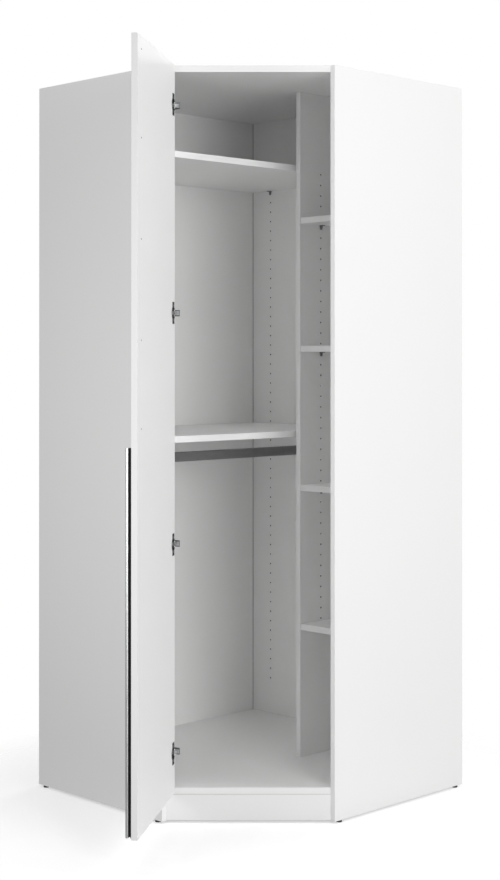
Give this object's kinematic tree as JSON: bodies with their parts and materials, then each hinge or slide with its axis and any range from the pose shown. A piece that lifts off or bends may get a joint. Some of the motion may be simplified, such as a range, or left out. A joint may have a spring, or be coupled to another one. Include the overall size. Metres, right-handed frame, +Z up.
{
  "type": "corner wardrobe",
  "caption": "Tall white corner wardrobe with a diagonal front, one open hinged door with a strip handle, a hanging bay with rail and shelves, and a narrow bay of small shelves.",
  "frame": {"origin": "middle of the bounding box on the floor, with the door open as pictured", "axes": "+X to the viewer's right, front faces -Y, room corner at +Y, +Z up"},
  "size_m": [1.2784, 1.4852, 2.107],
  "materials": {
    "white_board": "white melamine faced board, satin",
    "dark_rail": "dark grey coated, satin",
    "bright_strip": "bright anodised",
    "hinge_steel": "nickel plated",
    "support_steel": "zinc plated, dark",
    "black_plastic": "moulded"
  },
  "bodies": {
    "carcass": {"side_panel_left": "white_board", "side_panel_right": "white_board", "back_panel_left": "white_board", "back_panel_right": "white_board", "top_panel": "white_board", "floor_panel": "white_board", "plinth": "white_board", "partition": "white_board", "shelf_wide_upper": "white_board", "shelf_wide_lower": "white_board", "shelf_narrow_1": "white_board", "shelf_narrow_2": "white_board", "shelf_narrow_3": "white_board", "shelf_narrow_4": "white_board", "clothes_rail": "dark_rail", "rail_socket_left": "dark_rail", "rail_socket_right": "dark_rail", "support_upper_left_rear": "support_steel", "support_upper_left_front": "support_steel", "support_upper_right_rear": "support_steel", "support_upper_right_front": "support_steel", "support_narrow_1_left_rear": "support_steel", "support_narrow_1_left_front": "support_steel", "support_narrow_1_right_rear": "support_steel", "support_narrow_1_right_front": "support_steel", "support_narrow_2_left_rear": "support_steel", "support_narrow_2_left_front": "support_steel", "support_narrow_2_right_rear": "support_steel", "support_narrow_2_right_front": "support_steel", "support_narrow_3_left_rear": "support_steel", "support_narrow_3_left_front": "support_steel", "support_narrow_3_right_rear": "support_steel", "support_narrow_3_right_front": "support_steel", "support_narrow_4_left_rear": "support_steel", "support_narrow_4_left_front": "support_steel", "support_narrow_4_right_rear": "support_steel", "support_narrow_4_right_front": "support_steel", "glider_left_rear": "black_plastic", "glider_left_front": "black_plastic", "glider_right_rear": "black_plastic", "glider_right_front": "black_plastic", "glider_back_corner": "black_plastic", "hinge_arm_1": "hinge_steel", "hinge_arm_2": "hinge_steel", "hinge_arm_3": "hinge_steel", "hinge_arm_4": "hinge_steel", "hinge_plate_1": "hinge_steel", "hinge_plate_2": "hinge_steel", "hinge_plate_3": "hinge_steel", "hinge_plate_4": "hinge_steel"},
    "hinge_links": {"hinge_link_1": "hinge_steel", "hinge_link_2": "hinge_steel", "hinge_link_3": "hinge_steel", "hinge_link_4": "hinge_steel"},
    "door": {"door_panel": "white_board", "door_handle": "bright_strip", "hinge_cup_1": "hinge_steel", "hinge_cup_2": "hinge_steel", "hinge_cup_3": "hinge_steel", "hinge_cup_4": "hinge_steel"}
  },
  "joints": [
    {"name": "door_swing", "type": "hinge", "parent": "carcass", "child": "door", "pos_m": [-0.2184, -0.30062, 1.097], "axis": [0, 0, 1], "range_deg": [-5.7, 98.3]},
    {"name": "hinge_link_turn", "type": "hinge", "parent": "carcass", "child": "hinge_links", "pos_m": [-0.1984, -0.28982, 1.097], "axis": [0, 0, 1], "range_deg": [-39.25, 2.3]}
  ],
  "couplings": [
    {"joint": "hinge_link_turn", "follows": "door_swing", "ratio": -0.3988}
  ]
}
